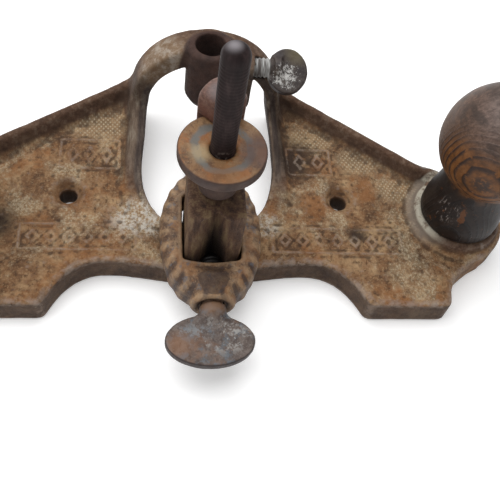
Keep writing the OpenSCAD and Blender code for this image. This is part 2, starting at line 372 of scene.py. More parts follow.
# Outlines, drawn as right halves. The wing's goes by notch, foot, side, knob pad, far edge and arch
FAR_A = np.array([33.0, 57.4])
FAR_B = np.array([68.0, 31.6])
FAR_WAY = (FAR_B - FAR_A) / np.linalg.norm(FAR_B - FAR_A)
FAR_EDGE = [
    [24.5, ARCH_BACK],
    *bezier([24.5, ARCH_BACK], [28, ARCH_BACK], [30.5, 59.4], FAR_A, n=6),
    FAR_B, *bezier(FAR_B, FAR_B + 4 * FAR_WAY, [74, 28.6], [77.5, 27.9], n=5)]
WING_OUTLINE = mirrored([
    [0, -9.5], [7, -9.4],
    *bezier([7, -9.4], [15, -8.0], [23, -NOTCH_FRONT], [30, -NOTCH_FRONT]),
    *bezier([30, -NOTCH_FRONT], [37.5, -6.2], [43.0, -10.5], [46.8, -18.5]),
    *bezier([46.8, -18.5], [47.5, -20.1], [48.1, -FOOT_FRONT], [50, -FOOT_FRONT], n=5),
    [FOOT_OUTER - 4.2, -FOOT_FRONT],
    *bezier([FOOT_OUTER - 4.2, -FOOT_FRONT], [FOOT_OUTER - 1.2, -FOOT_FRONT], [FOOT_OUTER - 0.1, -20.8],
            [FOOT_OUTER + 0.3, -17.6], n=7),
    *bezier([FOOT_OUTER + 0.3, -17.6], [74.6, -12.6], [77.4, -9.2], [88.2, -2.2], n=9),
    [KNOB_X, KNOB_Y], *FAR_EDGE[::-1], [0, ARCH_BACK]])
THROAT_OUTLINE = mirrored([
    [0, 7.6], [7.9, 7.6],
    *bezier([7.9, 7.6], [10.4, 7.6], [12.2, 7.9], [14.2, 9.6], n=5),
    *bezier([14.2, 9.6], [18.6, 13.6], [20.9, 20], [20.9, 29]),
    [19.6, ARCH_BACK], [19.6, 80], [0, 80]])

# Raised frames of the plaques, as low and high corners
PLAQUES = [
    ((-56, -2.8), (-22, 6.0)),
    ((19.7, -2.8), (60.9, 6.0)),
    ((-46.4, 27.5), (-28, 39.0)),
    ((27, 27.3), (41.5, 38.0))]
PLAQUE_MARGIN = 1.2


def plaque_relief(x, y):
    """Height of the plaques' frames, and of the row of plain lozenges inside them, partly worn away."""
    relief = 0
    for low, high in PLAQUES:
        cx, cy = (low[0] + high[0]) / 2, (low[1] + high[1]) / 2
        half_x, half_y = (high[0] - low[0]) / 2, (high[1] - low[1]) / 2
        box = np.maximum(np.abs(x - cx) - half_x, np.abs(y - cy) - half_y)
        line = 1 - smooth_step(0.05, 0.5, np.abs(box))
        count = max(2, round((half_x - 2) / 2.6))
        pitch = 2 * (half_x - PLAQUE_MARGIN) / count
        to_middle = np.abs(((x - cx) / pitch + count / 2) % 1 - 0.5) * pitch
        lozenge = np.abs(to_middle / (0.38 * pitch) + np.abs(y - cy) / (half_y - 1.6) - 0.72)
        shapes = (1 - smooth_step(0.12, 0.36, lozenge)) * (np.abs(x - cx) < half_x - PLAQUE_MARGIN)
        relief = relief + 0.42 * line + 0.36 * shapes * (box < -0.8)
    return relief * (0.5 + 0.5 * smooth_step(-0.5, 0.1, lattice_noise(x, y, 0, 7, 5)))


def throat_window(x, y, z):
    """Distance from the throat's walls, wider towards the sole, and from the arch's window above them."""
    lean = np.where(z < WING_TOP, 0.24, 0.135) * (WING_TOP - z)
    lean = lean + 1.4 * smooth_step(15, 48, y) * (x > 0)
    walls = path_distance(x, y, THROAT_OUTLINE, closed=True) - lean
    in_arch = smooth_step(ARCH_Z - 4, ARCH_Z + 4, z)
    arch_window = ellipse(x - 0.8, np.maximum(z - ARCH_Z, 0), 19.5, ARCH_INNER - 0.2)
    return walls * (1 - in_arch) + arch_window * in_arch


def from_hole(x, y):
    """Distance to the axis of the nearer of the two holes."""
    return np.hypot(np.abs(x) - HOLE_X, y - HOLE_Y)


def wings(x, y, z, sides):
    """Both wings, with a lumpy ground, plaques and a dimple round each hole."""
    ground = 0.16 * lattice_noise(x, y, 0, 5, 3) + 0.12 * lattice_noise(x, y, 0, 1.5, 4)
    dimple = 2.1 * (1 - smooth_step(2.0, 5.6, from_hole(x, y)))
    top = WING_TOP + ground + plaque_relief(x, y) - dimple
    return both(sides, z - top, 1.6)


def far_rim(x, y, z, sides):
    """A rim along the far edge, fading out at the knob's pad."""
    far = path_distance(np.abs(x), y, FAR_EDGE)
    rim_top = RIM_TOP + 0.3 - 1.2 * smooth_step(74, 79, np.abs(x))
    return both(both(sides, far - RIM_WIDTH - 0.5 * (RIM_TOP - z), 1.0), z - rim_top, 1.0)


def throat_ribs(x, y, z):
    """Ribs that run down from the arch's feet along the throat."""
    rib_top = 8.9 + 5.2 * smooth_step(4, 44, y)
    throat = path_distance(x, y, THROAT_OUTLINE, closed=True)
    slopes = both(throat - 3.4 - 0.5 * (RIM_TOP - z), z - rib_top, 1.8)
    return both(slopes, both(7 - y, y - ARCH_BACK, 0.5), 0.5)


def arch(x, y, z):
    """Half a ring whose legs lean out towards the sole."""
    ring = np.hypot(x, np.maximum(z - ARCH_Z, 0)) - 0.16 * np.maximum(ARCH_Z - z, 0)
    middle, half = (ARCH_OUTER + ARCH_INNER) / 2, (ARCH_OUTER - ARCH_INNER) / 2
    deep = np.abs(y - ARCH_BACK + ARCH_DEPTH / 2) - ARCH_DEPTH / 2
    return both(np.abs(ring - middle) - half, deep, 1.5)


def post(x, y, z):
    """A post with a V groove in front and behind. The front one closes above the collar screw's reach."""
    box = both(np.abs(x) - POST_HALF[0], np.abs(y) - POST_HALF[1], 1.0)
    runout = np.where(y < 0, 3.4 * smooth_step(GROOVE_END, POST_TOP + 0.6, z), 0)
    groove = (np.abs(x) - np.abs(y) + GROOVE + runout) / math.sqrt(2)
    front_floor = np.where(y < 0, GROOVE_FLOOR - z, -1)
    return both(cut(box, both(groove, front_floor), 0.9), z - POST_TOP, 0.8)


def rod_socket(x, y, z):
    """The depth rod's socket, with the lug for its thumbscrew."""
    lower = SOCKET_R - 0.55 * np.maximum(SOCKET_LOW + 3.5 - z, 0)
    ends = both(z - SOCKET_TOP, SOCKET_LOW - z, 0.5)
    socket = both(np.hypot(x, y - SOCKET_Y) - lower, ends, 1.5)
    lug = both(both(np.abs(x - 7) - 7, np.abs(y - SOCKET_Y) - 4.5, 1.5), np.abs(z - LUG_Z) - 9, 1.5)
    return union(socket, lug, 1.5)


def casting(x, y, z):
    """The cast body, with its bores."""
    ax = np.abs(x)
    # The left wing's far edge lies a little further back than the right one's
    behind = 2.2 * np.clip((-x - 20) / 45, 0, 1) * (1 - smooth_step(68, 78, -x)) * smooth_step(18, 30, y)
    sides = path_distance(x, y - behind, WING_OUTLINE, closed=True) + 0.03 * (z - 5)
    body = wings(x, y, z, sides)
    body = union(body, far_rim(x, y - behind, z, sides), 2.2)
    body = union(body, throat_ribs(x, y, z), 2.4)
    body = union(body, arch(x, y, z), 5.5)
    body = both(body, y - ARCH_BACK, 0.8)
    body = cut(body, throat_window(x, y, z), 1.6)

    # Knob pads, post and socket, with a cast skin
    to_pad = np.hypot(ax - KNOB_X, y - KNOB_Y)
    pad = both(to_pad - PAD_R, z - WING_TOP, 1.6)
    boss = both(to_pad - BOSS_R, z - PAD_TOP, 1.4)
    body = union(union(body, pad, 1.5), boss, 3.2)
    body = union(body, post(x, y, z), 0.8)
    body = union(body, rod_socket(x, y, z), 1.2)
    body = body + 0.10 * lattice_noise(x, y, z, 7, 8) + 0.05 * lattice_noise(x, y, z, 2.2, 9)

    # Flat sole, ends and back, and the bores
    body = both(body, -z, 0.7)
    body = both(body, np.maximum(y - ARCH_BACK, ax - CAST_HIGH[0]), 0.2)
    body = cut(body, both(np.hypot(x, y - SOCKET_Y) - SOCKET_BORE, SOCKET_LOW - 2 - z), 0.6)
    screw_way = np.hypot(y - SOCKET_Y, z - ROD_Z) - THREAD_R - 0.1
    body = cut(body, both(screw_way, both(3 - x, x - 25)), 0.3)
    body = cut(body, from_hole(x, y) - HOLE_R, 0.4)
    sink = np.maximum(to_pad - 5.3 + z, to_pad - 2.5 - 5 * (z > 14))
    return cut(body, np.minimum(to_pad - 2.5, sink) + 5 * (z > 12), 0.3)


def worn_lines(x, y, z):
    """1 along the wings' front brow and on the plaques' raised lines, which wear bright, and 0 elsewhere."""
    brow = smooth_step(-1.6, -0.9, path_distance(x, y, WING_OUTLINE, closed=True)) * (y < 0)
    brow = 0.8 * brow * smooth_step(WING_TOP - 1.8, WING_TOP - 0.7, z)
    return np.maximum(brow, 1.1 * plaque_relief(x, y) * (np.abs(z - WING_TOP) < 1.2))


def beside_throat(x, y, z):
    """How far a place is from the throat's walls and the arch's window, up to 8 mm."""
    return np.clip(throat_window(x, y, z), 0, 8)


def make_casting():
    piece = field_object("casting", CAST_LOW, CAST_HIGH, CAST_STEP, casting, bend=1.2)
    return paint(paint(piece, "worn_lines", worn_lines), "throat", beside_throat)


# ---------------------------------------------------------------- collar, thumbscrews, cutter

def collar_reach(y):
    """The collar's half depth, which is greater in front."""
    return np.where(y > 0, COLLAR_HIGH[1], COLLAR_FRONT)


def rope(x, y, z):
    """The rope pattern round the collar: 1 on a strand, -1 between two. It slants up to the front."""
    turn = np.arctan2(y / 22.5, x / COLLAR_HIGH[0])
    return np.cos(26 * turn + np.sign(x) * 0.38 * (z - (COLLAR_LOW[2] + COLLAR_HIGH[2]) / 2))


def rope_shade(x, y, z):
    """The rope pattern from 0 to 1 where the collar shows it, and a middling value elsewhere."""
    outer = smooth_step(-3.8, -2.2, ellipse(x, y, COLLAR_HIGH[0], collar_reach(y)))
    return 0.55 + outer * (0.5 * rope(x, y, z) - 0.05)


def collar(x, y, z):
    """An oval ring with a rope pattern, a boss for its screw, and a way for the post and the shank."""
    # The ring rests on the wings, and reaches lower in front of them
    low = WING_TOP + 0.2 - (WING_TOP + 0.2 - COLLAR_LOW[2]) * smooth_step(-10.2, -13.5, y)
    shell = ellipse(x, y, COLLAR_HIGH[0] - 0.1, collar_reach(y) - 0.1)
    outward = smooth_step(-4.6, -1.5, shell)
    body = both(both(shell, z - COLLAR_HIGH[2], 4.2), low - z, 2.8)
    body = body + outward * (0.06 - 0.11 * rope(x, y, z))
    body = both(body, -y - 21.3, 2.4)
    to_axis = np.hypot(x, z - CLAMP_Z)
    boss = both(to_axis - 6.3, both(-y - 22.9, y + 16), 0.8)
    body = union(body, boss, 2.6)
    lip = np.hypot(to_axis - 5.3, y + 22.8) - 0.95
    body = union(body, lip, 0.6)
    bow = 1.1 * (1 - (x / COLLAR_WAY) ** 2) * (y < 0)
    post_way = both(np.abs(x) - COLLAR_WAY, np.abs(y) - 10.9 - bow, 1.2)
    shank_way = both(np.abs(x) - COLLAR_WAY, (np.abs(x) + y - 19.05) / math.sqrt(2))
    body = cut(body, union(post_way, both(shank_way, -y)), 0.9)
    body = cut(body, both(to_axis - THREAD_R - 0.15, y + 8), 0.3)
    return body + 0.10 * lattice_noise(x, y, z, 2.5, 21) + 0.04 * lattice_noise(x, y, z, 0.9, 22)


def screw_shaft(r, along, turn, low, high, depth):
    """A threaded shaft from low to high along its axis."""
    wave = 0.5 + 0.5 * np.cos(2 * math.pi * along / THREAD_PITCH - turn)
    return both(r - THREAD_R + depth * wave, np.maximum(low - along, along - high), 0.2)


def collar_thumbscrew(x, y, z):
    """A pointed screw along Y with a flat oval head, set over a little to the left."""
    r, turn = np.hypot(x, z - CLAMP_Z), np.arctan2(z - CLAMP_Z, x)
    tip = (r + y + 5.4) / math.sqrt(2)
    shaft = both(screw_shaft(r, -y, turn, 6.1, 24, 0.34), tip, 0.2)
    flatter = 1 + 1.7 * smooth_step(-26, -32, y)
    neck = both(np.hypot(x, (z - CLAMP_Z) * flatter) - 3.8, both(23.6 + y, -y - 33), 0.5)
    plate = both(ellipse(x + 1.0, y + 34.3, 12.4, 7.7), np.abs(z - CLAMP_Z) - 1.5, 0.9)
    body = union(shaft, union(neck, plate, 2.2))
    return body + 0.06 * lattice_noise(x, y, z, 3, 31) + 0.03 * lattice_noise(x, y, z, 1, 32)


def rod_thumbscrew(x, y, z):
    """A screw along X with a round head, turned by 30 degrees."""
    v, w = y - SOCKET_Y, z - ROD_Z
    r, turn = np.hypot(v, w), np.arctan2(w, v)
    shaft = screw_shaft(r, x, turn, 5.4, 22, 0.42)
    neck = both(r - 3.6, both(20.6 - x, x - 23), 0.4)
    tilt = math.radians(30)
    across = v * math.cos(tilt) + w * math.sin(tilt)
    through = w * math.cos(tilt) - v * math.sin(tilt)
    disc = both(ellipse(x - 25.1, across + 1.0, 6.5, 7.3), np.abs(through) - 1.6, 0.7)
    body = union(shaft, union(neck, disc, 1.6))
    return body + 0.05 * lattice_noise(x, y, z, 2, 41) + 0.03 * lattice_noise(x, y, z, 0.8, 42)


def cutter(x, y, z):
    """A square shank set cornerwise, with a domed top, a foot and a slot for the nut's rim."""
    v = y - SHANK_Y
    up = z - CUTTER_LOW[2]
    shank = both((np.abs(x) + np.abs(v) - SHANK_HALF) / math.sqrt(2), -up, 0.5)
    # The square's corners are rounded
    shank = both(shank, np.hypot(x, v) - SHANK_HALF + 0.5, 0.4)
    above = np.maximum(z - CUTTER_HIGH[2] + SHANK_DOME, 0)
    shank = both(shank, np.sqrt(x * x + v * v + above**2) - SHANK_DOME, 0.6)
    bed = CUTTER_LOW[2] + 0.6 - 0.022 * (y - POST_HALF[1])
    back = np.maximum((up - 1.6) * 0.99 + (y - FOOT_BACK + 1) * 0.14, (y - FOOT_BACK) * 0.85 + up * 0.53)
    back = np.maximum(back, up - 3.6)
    front = np.maximum(back, POST_HALF[1] + 0.3 - y)
    foot = both(np.abs(x) - CUTTER_HIGH[0] + 0.4, np.maximum(bed - z, front), 0.3)
    body = union(shank, foot, 0.8)
    slot = np.maximum(np.abs(z - NUT_HIGH[2] + NUT_RIM / 2) - NUT_RIM / 2 - 0.2, y - NUT_HIGH[0] - 0.2)
    return cut(body, slot, 0.2) + 0.05 * lattice_noise(x, y, z, 3, 51)


def make_nut():
    rim, low, top = NUT_HIGH[0], NUT_LOW[2], NUT_HIGH[2]
    bore = 0.94 * STUD_R
    corners = [(bore, low), (NUT_HUB, low), (NUT_HUB, top - NUT_RIM), (rim, top - NUT_RIM), (rim, top),
               (bore + 1, top - 0.25), (bore, top - 0.7), (bore, low + 0.2)]
    outer = rounded_profile(corners, [0, 0.8, 0.9, 0.9, 0.7, 0.4, 0, 0])
    return turned_object("nut", outer, around=128, wobble=0.006, seed=61)


def make_stud():
    """The stud is a little thicker at its top, which the nut never reaches."""
    top = STUD_HIGH[2]
    heights = np.arange(STUD_LOW[2], top - STUD_TIP, 0.12)
    rows = [(STUD_R * (0.91 + 0.06 * smooth_step(58, top - 5, z)), z) for z in heights]
    r = rows[-1][0]
    for a in np.linspace(0.05, 1.55, 20):
        rows.append((r * math.cos(a) ** 0.7, top - STUD_TIP + STUD_TIP * math.sin(a)))
    thread = (STUD_PITCH, 0.05, 40, top - STUD_TIP - 0.2)
    return turned_object("stud", rows, around=72, thread=thread, wobble=0.008, seed=71)


def make_knob(name, x, seed):
    """A ball on a waisted base."""
    low = KNOB_FOOT
    join = BALL_Z - math.sqrt(BALL_R**2 - KNOB_NECK**2)
    base = [(0.1, low), (11.6, low), (12.4, low + 0.3), (12.7, low + 1.1), (12.7, low + 4),
            *bezier((12.7, low + 4), (12.1, low + 10), (KNOB_NECK, low + 13), (KNOB_NECK, join), n=20)]
    start = math.asin(-(BALL_Z - join) / BALL_R)
    turns = np.linspace(start, math.pi / 2 - 0.01, 60)
    ball = [(BALL_R * math.cos(a), BALL_Z + BALL_R * math.sin(a)) for a in turns]
    return turned_object(name, base + ball[1:], centre=(x, KNOB_Y), around=128, wobble=0.006, seed=seed)


# ---------------------------------------------------------------- materials

def colour(*screen):
    """A linear colour from red, green and blue screen values of 0 to 255."""
    parts = [c / 255 for c in screen]
    return [c / 12.92 if c <= 0.04045 else ((c + 0.055) / 1.055) ** 2.4 for c in parts] + [1]


class Tree:
    """One material's node tree, with short names for adding nodes. base is its colour so far."""

    def __init__(self, name):
        self.material = bpy.data.materials.new(name)
        self.material.use_nodes = True
        self.tree = self.material.node_tree
        self.shader = next(n for n in self.tree.nodes if n.type == "BSDF_PRINCIPLED")
        self.place = self.add("ShaderNodeTexCoord", {}).outputs["Object"]
        self.base = None

    def put(self, node, inputs):
        """Sets a node's inputs to numbers, or links them to other nodes' outputs."""
        for key, value in inputs.items():
            if isinstance(value, bpy.types.NodeSocket):
                self.tree.links.new(value, node.inputs[key])
            else:
                node.inputs[key].default_value = value

    def add(self, kind, inputs, **settings):
        node = self.tree.nodes.new(kind)
        for key, value in settings.items():
            setattr(node, key, value)
        self.put(node, inputs)
        return node

    def maths(self, operation, a, b=0.5):
        return self.add("ShaderNodeMath", {0: a, 1: b}, operation=operation).outputs[0]

    def times(self, *values):
        return functools.reduce(lambda a, b: self.maths("MULTIPLY", a, b), values)

    def most(self, *values):
        return functools.reduce(lambda a, b: self.maths("MAXIMUM", a, b), values)

    def less(self, value, factor):
        """1 less factor times a value."""
        return self.maths("SUBTRACT", 1, self.times(value, factor))

    def sway(self, noise, reach):
        """A length that goes from less to more than zero with a noise, over reach millimetres."""
        return self.times(self.maths("SUBTRACT", noise, 0.5), reach * MM)

    def vector(self, operation, a, b=(0, 0, 0)):
        node = self.add("ShaderNodeVectorMath", {0: a, 1: b}, operation=operation)
        return node.outputs["Value" if operation in ("LENGTH", "DOT_PRODUCT") else "Vector"]

    def away(self, x, y, z):
        """The way from a place given in millimetres."""
        return self.vector("SUBTRACT", self.place, (x * MM, y * MM, z * MM))

    def stretched(self, scale=(1, 1, 1), turn=(0, 0, 0)):
        inputs = {"Vector": self.place, "Scale": scale, "Rotation": turn}
        return self.add("ShaderNodeMapping", inputs).outputs[0]

    def noise(self, size, detail=5, rough=0.6, seed=0, place=None, twist=0.0):
        """Noise from 0 to 1 with features of about size millimetres."""
        inputs = {"Vector": place or self.place, "W": seed * 7.3, "Scale": 1 / (size * MM),
                  "Detail": detail, "Roughness": rough, "Distortion": twist}
        return self.add("ShaderNodeTexNoise", inputs, noise_dimensions="4D").outputs[0]

    def step(self, value, low, high):
        """0 below low, 1 above high and smooth between them. With low above high it falls."""
        falls = low > high
        inputs = {"Value": value, "From Min": min(low, high), "From Max": max(low, high),
                  "To Min": 1 if falls else 0, "To Max": 0 if falls else 1}
        return self.add("ShaderNodeMapRange", inputs, interpolation_type="SMOOTHSTEP").outputs["Result"]

    def patches(self, size, low, high, *settings, **more):
        """The same step in a noise, which gives patches."""
        return self.step(self.noise(size, *settings, **more), low, high)

    def along(self, axis, vector):
        return self.add("ShaderNodeSeparateXYZ", {0: vector}).outputs[axis]

    def span(self, axis, low, high):
        """The same step along an axis, between places in millimetres."""
        return self.step(self.along(axis, self.place), low * MM, high * MM)

    def facing_up(self, low, high):
        """The same step in how far the surface faces upwards, from -1 to 1."""
        normal = self.add("ShaderNodeNewGeometry", {}).outputs["Normal"]
        return self.step(self.along("Z", normal), low, high)

    def painted(self, name, low, high):
        """The same step in a value stored on the vertices."""
        return self.step(self.attribute(name), low, high)

    def attribute(self, name):
        return self.add("ShaderNodeAttribute", {}, attribute_name=name).outputs["Fac"]

    def near(self, x, y, z, radius, soft=0.6, squash=(1, 1, 1)):
        """1 round a place, 0 beyond radius millimetres from it."""
        length = self.vector("LENGTH", self.vector("MULTIPLY", self.away(x, y, z), squash))
        return self.step(length, radius * MM, radius * MM * (1 - soft))

    def ramp(self, value, *stops):
        node = self.add("ShaderNodeValToRGB", {0: value})
        elements = node.color_ramp.elements
        while len(elements) < len(stops):
            elements.new(0.5)
        for element, (at, shade) in zip(elements, stops):
            element.position = at
            element.color = shade
        return node.outputs[0]

    def shades(self, value, *stops):
        """A ramp of colours in screen values."""
        return self.ramp(value, *((at, colour(*shade)) for at, *shade in stops))

    def greys(self, value, first, second, low=0.35, high=0.65):
        """A level from first to second as a value goes from low to high."""
        return self.ramp(value, (low, (first, first, first, 1)), (high, (second, second, second, 1)))

    def mix(self, factor, a, b):
        node = self.add("ShaderNodeMix", {"Factor": factor, "A": a, "B": b}, data_type="RGBA")
        return next(o for o in node.outputs if o.type == "RGBA")

    def lay(self, shade, *factors):
        """Lays a shade, in screen values or from a node, over the base where all the factors are high."""
        top = colour(*shade) if isinstance(shade, tuple) else shade
        self.base = self.mix(self.times(*factors), self.base, top)

    def bumps(self, *layers):
        """Bump from (height, depth in millimetres) layers."""
        before = {}
        for height, depth in layers:
            inputs = {"Height": height, "Distance": depth * MM, "Strength": 1, **before}
            before = {"Normal": self.add("ShaderNodeBump", inputs).outputs[0]}
        self.put(self.shader, before)

    def finish(self, rough, metallic=0.0, specular=0.35):
        self.put(self.shader, {"Base Color": self.base, "Roughness": rough, "Metallic": metallic,
                               "Specular IOR Level": specular})
        return self.material


def weathered(name, dark, middle, light, patch, seed):
    """A tree whose base is rust and worn metal: three shades in patches, broken up by fine grain."""
    tree = Tree(name)
    broad = tree.noise(patch, 8, 0.72, seed=seed, twist=0.4)
    tree.base = tree.shades(broad, (0.36, *dark), (0.50, *middle), (0.62, *light))
    tree.lay(dark, tree.patches(1.6, 0.50, 0.37, 5, 0.75, seed=seed + 1), 0.8)
    tree.lay(light, tree.patches(0.7, 0.52, 0.64, 3, 0.8, seed=seed + 2), 0.6)
    return tree


def hatching(tree):
    """Crossing rows of fine dots, from 0 between them to 1 on them."""
    rows = []
    for turn in (0.62, -0.72):
        inputs = {"Vector": tree.stretched(turn=(0, 0, turn)), "Scale": 0.27 / MM, "Distortion": 0.6,
                  "Detail": 2, "Detail Scale": 1.5}
        wave = tree.add("ShaderNodeTexWave", inputs, wave_type="BANDS", bands_direction="X")
        rows.append(wave.outputs["Fac"])
    return tree.times(*rows)


def shade_cast_sides(tree):
    """Rim and raised parts are darker and greyer than the wings. Side faces get a darker, greyer painted
    shade, less of it below the right knob's pad.
    """
    streaks = tree.noise(2.4, 7, 0.75, seed=15)
    raised = tree.shades(streaks, (0.36, 56, 39, 30), (0.5, 82, 60, 47), (0.66, 114, 97, 83))
    tree.lay(raised, tree.span("Z", 9.8, 11.2), 0.88)
    # Painted shade on faces turned sideways, lessened below the right knob's pad
    blotches = tree.noise(5, 6, 0.7, seed=16)
    side = tree.shades(blotches, (0.36, 44, 34, 30), (0.62, 84, 67, 55))
    lit = tree.less(tree.near(84, -8, 5, 13, soft=0.4), 0.75)
    tree.lay(side, tree.facing_up(0.6, 0.2), lit, 0.85)


def shade_cast_throat(tree):
    """The legs and the arch are grey-brown with streaks along them, and the throat's walls get a dark painted
    shade.
    """
    along = tree.noise(1.5, 7, 0.75, seed=25, place=tree.stretched((1, 0.16, 0.5)))
    inner = tree.near(0, 40, 12, 30, soft=0.14, squash=(1.04, 0.86, 1))
    leg = tree.shades(along, (0.36, 70, 57, 48), (0.5, 103, 88, 75), (0.64, 142, 132, 117))
    tree.lay(leg, inner, tree.span("Z", 9.7, 11.5), tree.facing_up(-0.15, 0.2), 0.85)
    # Painted shade on the throat's steep walls, low down beside the throat
    wall_painted_shade = tree.shades(along, (0.36, 42, 34, 33), (0.5, 58, 48, 45), (0.66, 96, 86, 80))
    low_down = tree.times(tree.span("Z", 3, 6), tree.span("Z", 17, 14.5))
    tree.lay(wall_painted_shade, inner, tree.facing_up(0.84, 0.6), tree.painted("throat", 3.4, 2.4), low_down, 0.8)

    # Painted shade: a dark strip follows the throat's left side into the arch, and another lies inside the
    # pale edge of its right side
    left = tree.times(tree.span("X", 2, -4), tree.span("Y", 10, 16), tree.painted("throat", 3.4, 2.2))
    right = tree.times(tree.span("X", 4, 10), tree.span("Y", 20, 28))
    right = tree.times(right, tree.painted("throat", 1.0, 1.6), tree.painted("throat", 3.6, 2.8))
    band_painted_shade = tree.shades(along, (0.36, 44, 35, 33), (0.5, 62, 52, 48), (0.66, 92, 82, 74))
    tree.lay(band_painted_shade, tree.most(left, right), tree.span("Z", 5, 8), 0.85)

    broad = tree.noise(3.5, 7, 0.75, seed=28)
    pale = tree.shades(broad, (0.4, 118, 92, 66), (0.5, 142, 122, 100), (0.6, 178, 168, 154))
    tree.lay(pale, tree.near(-15, 52, 32, 12, soft=0.5), 0.6)


def shade_cast_wear(tree):
    """Pale worn patches, in fine cross-hatched dots. Returns the dots' height for the bump."""
    dots = hatching(tree)
    corner = tree.near(-34, 46, 9, 12, squash=(0.7, 1.3, 1))
    for x, y in ((36, 43), (52, 34), (64, 22)):
        corner = tree.most(corner, tree.near(x, y, 9, 9, squash=(0.8, 1.2, 1)))
    foot = tree.near(-20, 9, 9.5, 9, squash=(0.7, 1, 1))
    foot = tree.most(foot, tree.times(tree.near(18, 7, 9.5, 6), 0.7))
    patch = tree.patches(13, 0.49, 0.60, 6, 0.7, seed=17)
    patch = tree.most(patch, corner, foot)
    flat = tree.facing_up(0.6, 0.9)
    low_down = tree.span("Z", 11.5, 10.2)
    fine = tree.patches(0.8, 0.44, 0.62, 5, 0.85, seed=18)
    broken = tree.patches(2.0, 0.34, 0.50, 4, 0.7, seed=29)
    rows = tree.times(tree.step(dots, 0.3, 0.6), broken, tree.most(tree.step(fine, 0.0, 0.3), corner))
    specks = tree.times(fine, tree.less(corner, 0.7))
    tree.lay((152, 130, 98), patch, flat, low_down, 0.35)
    tree.lay((186, 172, 146), patch, tree.most(rows, specks), flat, low_down, 0.62)
    tree.lay((205, 202, 194), foot, tree.patches(2, 0.46, 0.56, 6, 0.8, seed=26), flat, 0.6)
    return tree.times(dots, patch, low_down)


def shade_cast_stains(tree):
    """Stains and worn edges, painted shade in the hollows, and a painted shadow on the far side of the holes'
    dimples.
    """
    for side in (-1, 1):
        # Painted shadow on the far side of each hole's dimple
        dimple_shadow = tree.near(side * HOLE_X - 0.8, HOLE_Y + 3.6, WING_TOP - 0.8, 3.8, soft=0.7)
        tree.lay((70, 47, 31), dimple_shadow, 0.7)
        tree.lay((118, 82, 50), tree.near(side * HOLE_X, HOLE_Y, WING_TOP - 1, 6.4, soft=0.4), 0.35)
    for x, y, radius in ((29, 33, 13), (47, 4, 5), (-63, 6, 9)):
        ragged = tree.patches(4, 0.30, 0.46, detail=6, seed=14)
        tree.lay((40, 28, 20), tree.near(x, y, 9, radius, soft=0.8), ragged, 0.92)
    rubbed = tree.patches(2.5, 0.42, 0.60, 5, 0.7, seed=19)
    tree.lay((138, 121, 108), tree.painted("edge", 0.08, 0.40), rubbed, tree.span("Z", 13, 10.5), 0.5)
    rubbed = tree.patches(3, 0.42, 0.58, 5, 0.7, seed=27)
    tree.lay((158, 145, 134), tree.attribute("worn_lines"), rubbed, 0.55)
    # Painted shade darkens the hollows below the rim's top
    tree.lay((52, 37, 27), tree.painted("hollow", 0.05, 0.40), tree.span("Z", 18, 13.5), 0.7)


def shade_cast_plating(tree):
    """Cream remains of plating round the knobs' pads, and a glint where the rim meets the right one."""
    for side in (-1, 1):
        part = tree.near(side * (KNOB_X - 14), KNOB_Y + 4, 10.5, 19, soft=0.45)
        ring = tree.times(tree.near(side * KNOB_X, KNOB_Y, 10.5, 17.0, soft=0.06), tree.span("Z", 10.8, 11.7))
        left_over = tree.patches(3, 0.34, 0.52, 5, 0.7, seed=20)
        tree.lay((182, 176, 160), ring, part, left_over, 0.9)
        skirt = tree.near(side * KNOB_X, KNOB_Y, 10.5, 18.0, soft=0.08)
        tree.lay((134, 123, 111), skirt, tree.span("Z", 9.2, 9.9), tree.span("Z", 11.7, 10.8), part, 0.65)
    tree.lay((192, 192, 190), tree.near(72.5, 29.8, 13.6, 2.6, soft=0.8), 0.75)


def shade_cast_middle(tree):
    """The socket is nearly black and the post brown, and the post's front groove gets a nearly black painted
    shadow.
    """
    inside = tree.noise(4, 6, 0.7, seed=21)
    dark = tree.shades(inside, (0.36, 42, 29, 26), (0.64, 74, 53, 46))
    socket = tree.near(1, SOCKET_Y - 1, 28, 15, soft=0.1, squash=(1.3, 1.6, 0.75))
    tree.lay(dark, socket, tree.span("Z", 15, 17), 0.93)
    grain = tree.noise(4, 6, 0.7, seed=22, place=tree.stretched((1.6, 1.6, 0.3)))
    brown = tree.shades(grain, (0.38, 54, 38, 32), (0.5, 92, 68, 52), (0.62, 126, 104, 76))
    tree.lay(brown, tree.near(0, 0, 25, 16, soft=0.1, squash=(1, 1, 0.8)), 0.93)
    # Painted shadow, nearly black, in the post's front groove
    tree.lay((16, 11, 10), tree.near(0.3, -6.6, 15, 15, soft=0.75, squash=(2.9, 1.9, 0.72)), 0.92)


def cast_material():
    """Rusty cast iron, from its ground of rust and blackened patches up."""
    tree = weathered("rusty_cast_body", (74, 50, 32), (122, 89, 60), (158, 130, 96), patch=10, seed=1)
    tree.lay((138, 90, 50), tree.patches(13, 0.50, 0.60, 7, 0.75, seed=11), 0.5)
    tree.lay((64, 46, 34), tree.patches(15, 0.53, 0.64, 7, 0.75, seed=13), 0.6)
    shade_cast_sides(tree)
    shade_cast_throat(tree)
    dots = shade_cast_wear(tree)
    shade_cast_stains(tree)
    shade_cast_plating(tree)
    shade_cast_middle(tree)
    grain = tree.noise(1.4, 7, 0.8, seed=23)
    tree.bumps((grain, 0.5), (dots, 0.14), (tree.noise(0.5, detail=3, seed=24), 0.12))
    return tree.finish(tree.greys(grain, 0.85, 0.6, low=0.3, high=0.7), specular=0.25)


